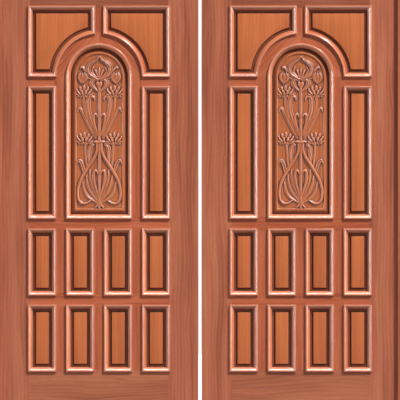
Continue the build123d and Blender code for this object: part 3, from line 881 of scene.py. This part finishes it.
def bare_metal(name, marks_on, tones, places, roughness):
    material, tree = new_material(name)
    marks = marks_on(tree, add(tree, "ShaderNodeTexCoord").outputs["Object"])
    stops = tuple(zip(places, [linear(tone) for tone in tones]))
    colour = add(tree, "ShaderNodeValToRGB", {0: marks}, stops=stops).outputs[0]
    dull = add(tree, "ShaderNodeMapRange", {0: marks, 3: roughness[0], 4: roughness[1]}).outputs[0]
    surface = add(tree, "ShaderNodeBsdfPrincipled", {
        "Base Color": colour, "Roughness": dull, "Metallic": 1.0,
    })
    add(tree, "ShaderNodeOutputMaterial", {"Surface": surface.outputs[0]})
    return material


hinge_brass = bare_metal("brushed_brass_hinges", brush_marks, BRASS_TONES, BRASS_PLACES, BRASS_ROUGHNESS)
pin_steel = bare_metal("turned_steel_pins", lathe_rings, STEEL_TONES, STEEL_PLACES, STEEL_ROUGHNESS)


# Leaf pieces that take the place of the plain solids. A board's number picks its stretch of timber,
# and a moulding's picks the first of its strips.
ARCH_BOARD = 3
SIDE_BOARD, SPANDREL_BOARD, FAR_SIDE_BOARD, FAR_SPANDREL_BOARD = 11, 12, 13, 14
CARVED_BOARD = 17
STRIPS_EACH = 4
SIDE_STRIPS, FAR_SIDE_STRIPS, SPANDREL_STRIPS, FAR_SPANDREL_STRIPS, ARCH_STRIPS = 40, 45, 50, 55, 60

small = small_outlines()
far_side, far_spandrel = mirrored(side_outline), mirrored(spandrel_outline)
moulding_skins = {
    "small_mouldings": [
        mitred_moulding(outline, STRIPS_EACH * board) for board, outline in enumerate(small)
    ],
    "side_mouldings": [
        mitred_moulding(side_outline, SIDE_STRIPS), mitred_moulding(far_side, FAR_SIDE_STRIPS),
    ],
    "spandrel_mouldings": [
        mitred_moulding(spandrel_outline, SPANDREL_STRIPS),
        mitred_moulding(far_spandrel, FAR_SPANDREL_STRIPS),
    ],
    "arch_moulding": [mitred_moulding(arch_outline, ARCH_STRIPS)],
}
carved_skin, carved_relief = carved_panel(CARVED_BOARD)
field_faces = CARVED_COLUMNS * (CARVED_ROWS + CARVED_ARC_ROWS)
for leaf in ("left", "right"):
    first, second = ("outer", "inner") if leaf == "left" else ("inner", "outer")
    panel_skins = {
        "small_panels": [raised_panel(outline, board) for board, outline in enumerate(small)],
        f"{first}_side_panel": [raised_panel(side_outline, SIDE_BOARD)],
        f"{first}_spandrel_panel": [raised_panel(spandrel_outline, SPANDREL_BOARD)],
        f"{second}_side_panel": [raised_panel(far_side, FAR_SIDE_BOARD)],
        f"{second}_spandrel_panel": [raised_panel(far_spandrel, FAR_SPANDREL_BOARD)],
    }
    for node, skins in panel_skins.items():
        leaf_piece(leaf, node, skins, panel_wood)
    for node, skins in moulding_skins.items():
        leaf_piece(leaf, node, skins, moulding_wood)
    leaf_piece(leaf, "arch_rail", [arch_rail(ARCH_BOARD)], arch_wood)
    carving = leaf_piece(
        leaf, "carved_panel", [carved_skin], carved_wood, CARVED_SHARP_TURN,
    )
    # The margin and the back of the carved panel are plain
    carving.data.materials.append(panel_wood)
    carving.data.attributes.new("Relief", "FLOAT", "POINT").data.foreach_set("value", carved_relief)
    for face in carving.data.polygons[field_faces:]:
        face.material_index = 1


# Butt hinges: a plate with four slotted screws, and a bored knuckle on a steel pin
HINGE_HEIGHT = 101.6
HINGE_PLATE = 3.0
HINGE_ARRIS = 0.4
KNUCKLE_GAP = 0.3
KNUCKLE_RADIUS = 6.5
BORE_RADIUS = 4.0
PIN_RADIUS = 3.9
ARM_LAP = 1.0
ARM_END = 4.3
ROUND_STEPS = 32
SCREW_RADIUS = 4.2
SCREW_SLOT = 1.0
SCREW_STAND = 0.35
SCREW_STEPS = 12
# How far out of the plate, and how wide
SCREW_PROFILE = (
    (-SCREW_STAND, SCREW_RADIUS), (SCREW_STAND / 2, SCREW_RADIUS),
    (SCREW_STAND, SCREW_RADIUS - SCREW_STAND),
)
# Places of the screws, as shares of the plate's width and height
SCREW_SHARES = ((0.3, 0.13), (0.7, 0.37), (0.3, 0.63), (0.7, 0.87))


def turned(profile, closed):
    """A round form about the pin, from radii and heights."""
    turns = [math.tau * step / ROUND_STEPS for step in range(ROUND_STEPS)]
    rings = [
        [(PIN_X + radius * math.cos(turn), PIN_Y + radius * math.sin(turn), level) for turn in turns]
        for radius, level in profile
    ]
    return skin_rings(rings, closed)


def slab(start, end, front, back, foot, head):
    outline = rectangle_outline(front, back, foot, head)
    steps = (start, HINGE_ARRIS), (start + HINGE_ARRIS, 0), (end - HINGE_ARRIS, 0), (end, HINGE_ARRIS)
    return skin_rings([[(x, y, z) for y, z in outline(inset)] for x, inset in steps], False)


def screw_head(face, out, y, z):
    """Two half rounds with the slot between them."""
    halves = []
    for side in (-1, 1):
        rings = []
        for stand, radius in SCREW_PROFILE:
            x = face + out * stand
            start = math.asin(SCREW_SLOT / 2 / radius)
            turns = [start + (math.pi - 2 * start) * step / SCREW_STEPS for step in range(SCREW_STEPS + 1)]
            rings.append([
                (x, y + radius * math.cos(turn), z + side * radius * math.sin(turn)) for turn in turns
            ])
        halves.append(skin_rings(rings, False))
    return halves


def rounded_ends(radius, bore, foot, head):
    arris = HINGE_ARRIS
    return [
        (bore, foot), (radius - arris, foot), (radius, foot + arris),
        (radius, head - arris), (radius - arris, head), (bore, head),
    ]


def hinge_half(face, out, foot, knuckle_foot):
    """Half a hinge, with the plate's bare face at a place across and looking one way."""
    low, high = sorted((face, face - out * HINGE_PLATE))
    knuckle_head = knuckle_foot + (HINGE_HEIGHT - KNUCKLE_GAP) / 2
    skins = [
        slab(low, high, PLATE_FRONT, FRAME_BACK, foot, foot + HINGE_HEIGHT),
        slab(low, high, FRAME_BACK - ARM_LAP, PIN_Y - ARM_END, knuckle_foot, knuckle_head),
        turned(rounded_ends(KNUCKLE_RADIUS, BORE_RADIUS, knuckle_foot, knuckle_head), True),
    ]
    for deep, up in SCREW_SHARES:
        y = PLATE_FRONT + deep * (FRAME_BACK - PLATE_FRONT)
        skins += screw_head(face, out, y, foot + up * HINGE_HEIGHT)
    return skins


def hinge_piece(side, node, skins, material, body):
    """A piece of the left hinges, or its mirror image at the right."""
    flip = 1 if side == "left" else -1
    placed = [([(flip * x, y, z) for x, y, z in points], faces) for points, faces in skins]
    grained = [(points, faces, upright_grain(points, faces, 0)) for points, faces in placed]
    made = make_object(f"{side}_{node}_turned", *gather(grained), SHARP_TURN)
    dress(made, material, body, f"{side}_{node}")


highest = PINS_HEAD - HINGE_HEIGHT
hinge_feet = (PINS_FOOT, (PINS_FOOT + highest) / 2, highest)
upper_knuckle = (HINGE_HEIGHT + KNUCKLE_GAP) / 2
jamb_skins, leaf_skins, pin_skins = [], [], []
for foot in hinge_feet:
    jamb_skins += hinge_half(JAMB_PLATE_BACK + HINGE_PLATE, 1, foot, foot)
    leaf_skins += hinge_half(HINGE_EDGE, -1, foot, foot + upper_knuckle)
    pin_ends = rounded_ends(PIN_RADIUS, PIN_RADIUS / 2, foot, foot + HINGE_HEIGHT)
    pin_skins.append(turned(pin_ends, False))
for side in ("left", "right"):
    hinge_piece(side, "jamb_hinges", jamb_skins, hinge_brass, "frame")
    hinge_piece(side, "leaf_hinges", leaf_skins, hinge_brass, f"{side}_leaf")
    hinge_piece(side, "hinge_pins", pin_skins, pin_steel, "frame")


# Members that keep their solids get eased arrises and their wood
MEMBER_ARRIS = 0.5
MEMBER_ARRIS_STEPS = 2
MEMBER_ARRIS_TURN = 40.0
JOINED_WITHIN = 0.01
MEMBER_WOODS = {
    "hinge_stile": stile_wood, "meeting_stile": stile_wood, "top_rail": top_rail_wood,
    "lock_rail": rail_wood, "middle_rail": rail_wood, "bottom_rail": end_rail_wood,
    "crown_mullion": bar_wood, "outer_mullion": bar_wood, "inner_mullion": bar_wood,
    "outer_cross_rail": rail_wood, "inner_cross_rail": rail_wood, "muntins": bar_wood, "jamb": frame_wood,
}


def ease(node, wood):
    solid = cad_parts[node]
    solid.material_slots[0].material = wood
    weld = solid.modifiers.new("joined faces", "WELD")
    weld.merge_threshold = JOINED_WITHIN * MM
    bevel = solid.modifiers.new("eased arrises", "BEVEL")
    bevel.width = MEMBER_ARRIS * MM
    bevel.segments = MEMBER_ARRIS_STEPS
    bevel.limit_method = "ANGLE"
    bevel.angle_limit = math.radians(MEMBER_ARRIS_TURN)


for side in ("left", "right"):
    for member, wood in MEMBER_WOODS.items():
        ease(f"{side}_{member}", wood)
ease("head_jamb", sill_wood)
ease("threshold", sill_wood)

# Studio: a pale floor, white surroundings and soft lamps
FLOOR_SIZE = 14000.0
VIEW_WIDTH = 1844.0
VIEW_HEIGHT_OVER_FOOT = 1007.0
VIEW_REACH = 100000.0
LENS = 300.0
SENSOR = 36.0
WHITE = (1.0, 1.0, 1.0, 1.0)
# The surroundings are white to the eye and dim as a light
SEEN_BRIGHTNESS, LIT_BRIGHTNESS = 1.0, 0.08


def plainly_seen(tree):
    """1 where the camera sees a surface straight, in a polished one or through glass, and else 0."""
    path = add(tree, "ShaderNodeLightPath").outputs
    seen = path["Is Camera Ray"]
    for other in ("Is Glossy Ray", "Is Transmission Ray"):
        seen = add(tree, "ShaderNodeMath", {0: seen, 1: path[other]}, operation="MAXIMUM").outputs[0]
    return seen


# Matt painted studio floor: pale, with a faint unevenness from the roller
ROLLER_MARK = 40.0
PAINT_TONES, PAINT_PLACES = ("#F3F1EF", "#F6F5F3"), (0.3, 0.7)
PAINT_ROUGHNESS = 0.8
# It is white to the eye, and throws less light back on the doors than a white one would
PAINT_LIT_TONE = "#504F4E"


def matt_painted_floor():
    material, tree = new_material("matt_painted_floor")
    scale = 1 / (ROLLER_MARK * MM)
    speckle = add(tree, "ShaderNodeTexNoise", {"Scale": scale, "Detail": 2.0}).outputs["Fac"]
    stops = tuple(zip(PAINT_PLACES, [linear(tone) for tone in PAINT_TONES]))
    paint = add(tree, "ShaderNodeValToRGB", {0: speckle}, stops=stops).outputs[0]
    shown = add(tree, "ShaderNodeMix", {
        0: plainly_seen(tree), 6: linear(PAINT_LIT_TONE), 7: paint,
    }, data_type="RGBA").outputs[2]
    surface = add(tree, "ShaderNodeBsdfPrincipled", {"Base Color": shown, "Roughness": PAINT_ROUGHNESS})
    add(tree, "ShaderNodeOutputMaterial", {"Surface": surface.outputs[0]})
    return material


half_floor = FLOOR_SIZE * MM / 2
corners = [(half_floor * x, half_floor * y, 0.0) for x, y in ((-1, -1), (1, -1), (1, 1), (-1, 1))]
floor_mesh = bpy.data.meshes.new("floor")
floor_mesh.from_pydata(corners, [], [range(len(corners))])
floor_mesh.materials.append(matt_painted_floor())
floor = bpy.data.objects.new("floor", floor_mesh)
bpy.context.scene.collection.objects.link(floor)

# Lamps: the way they stand, how far off, their width and height, and how many times as bright as white
# paper they are. The key rakes across the doors from high on the right, so that each moulding throws a
# line of shadow. Long lamps overhead, at the right and at the left draw the pale lines along the lacquered
# mouldings, and a broad one lights the plain faces at the back.
LAMPS = {
    "key_lamp": ((0.52, -0.46, 0.73), 40000.0, 2900.0, 2900.0, 945.0),
    "overhead_lamp": ((0.0, -0.08, 1.0), 12000.0, 3600.0, 1800.0, 30.0),
    "right_lamp": ((0.99, -0.08, 0.05), 12000.0, 6000.0, 3000.0, 11.5),
    "left_lamp": ((-0.99, -0.08, 0.05), 12000.0, 6000.0, 3000.0, 19.0),
    "back_lamp": ((-0.45, 0.75, 0.5), 9000.0, 4000.0, 4000.0, 10.0),
}
view_middle = Vector((0.0, 0.0, (LEAF_FOOT + VIEW_HEIGHT_OVER_FOOT) * MM))
for name, (toward, distance, width, height, brightness) in LAMPS.items():
    direction = Vector(toward).normalized()
    data = bpy.data.lights.new(name, "AREA")
    data.shape = "RECTANGLE"
    data.size, data.size_y = width * MM, height * MM
    data.energy = brightness * math.pi * data.size * data.size_y
    lamp = bpy.data.objects.new(name, data)
    lamp.location = direction * distance * MM + view_middle
    lamp.rotation_mode = "QUATERNION"
    lamp.rotation_quaternion = (-direction).to_track_quat("-Z", "Y")
    bpy.context.scene.collection.objects.link(lamp)

world = bpy.data.worlds.new("white_studio")
world.use_nodes = True
tree = world.node_tree
tree.nodes.clear()
lit = add(tree, "ShaderNodeBackground", {"Color": WHITE, "Strength": LIT_BRIGHTNESS}).outputs[0]
seen = add(tree, "ShaderNodeBackground", {"Color": WHITE, "Strength": SEEN_BRIGHTNESS}).outputs[0]
mix = add(tree, "ShaderNodeMixShader", {0: plainly_seen(tree), 1: lit, 2: seen})
add(tree, "ShaderNodeOutputWorld", {"Surface": mix.outputs[0]})
bpy.context.scene.world = world

camera_data = bpy.data.cameras.new("camera")
camera_data.lens = LENS
camera_data.sensor_width = SENSOR
camera_data.clip_end = VIEW_REACH * MM
camera = bpy.data.objects.new("camera", camera_data)
bpy.context.scene.collection.objects.link(camera)
camera.location = view_middle + Vector((0.0, (LEAF_FRONT - VIEW_WIDTH / (SENSOR / LENS)) * MM, 0.0))
camera.rotation_euler = (math.pi / 2, 0.0, 0.0)
bpy.context.scene.camera = camera
bpy.context.scene.view_settings.view_transform = "Standard"
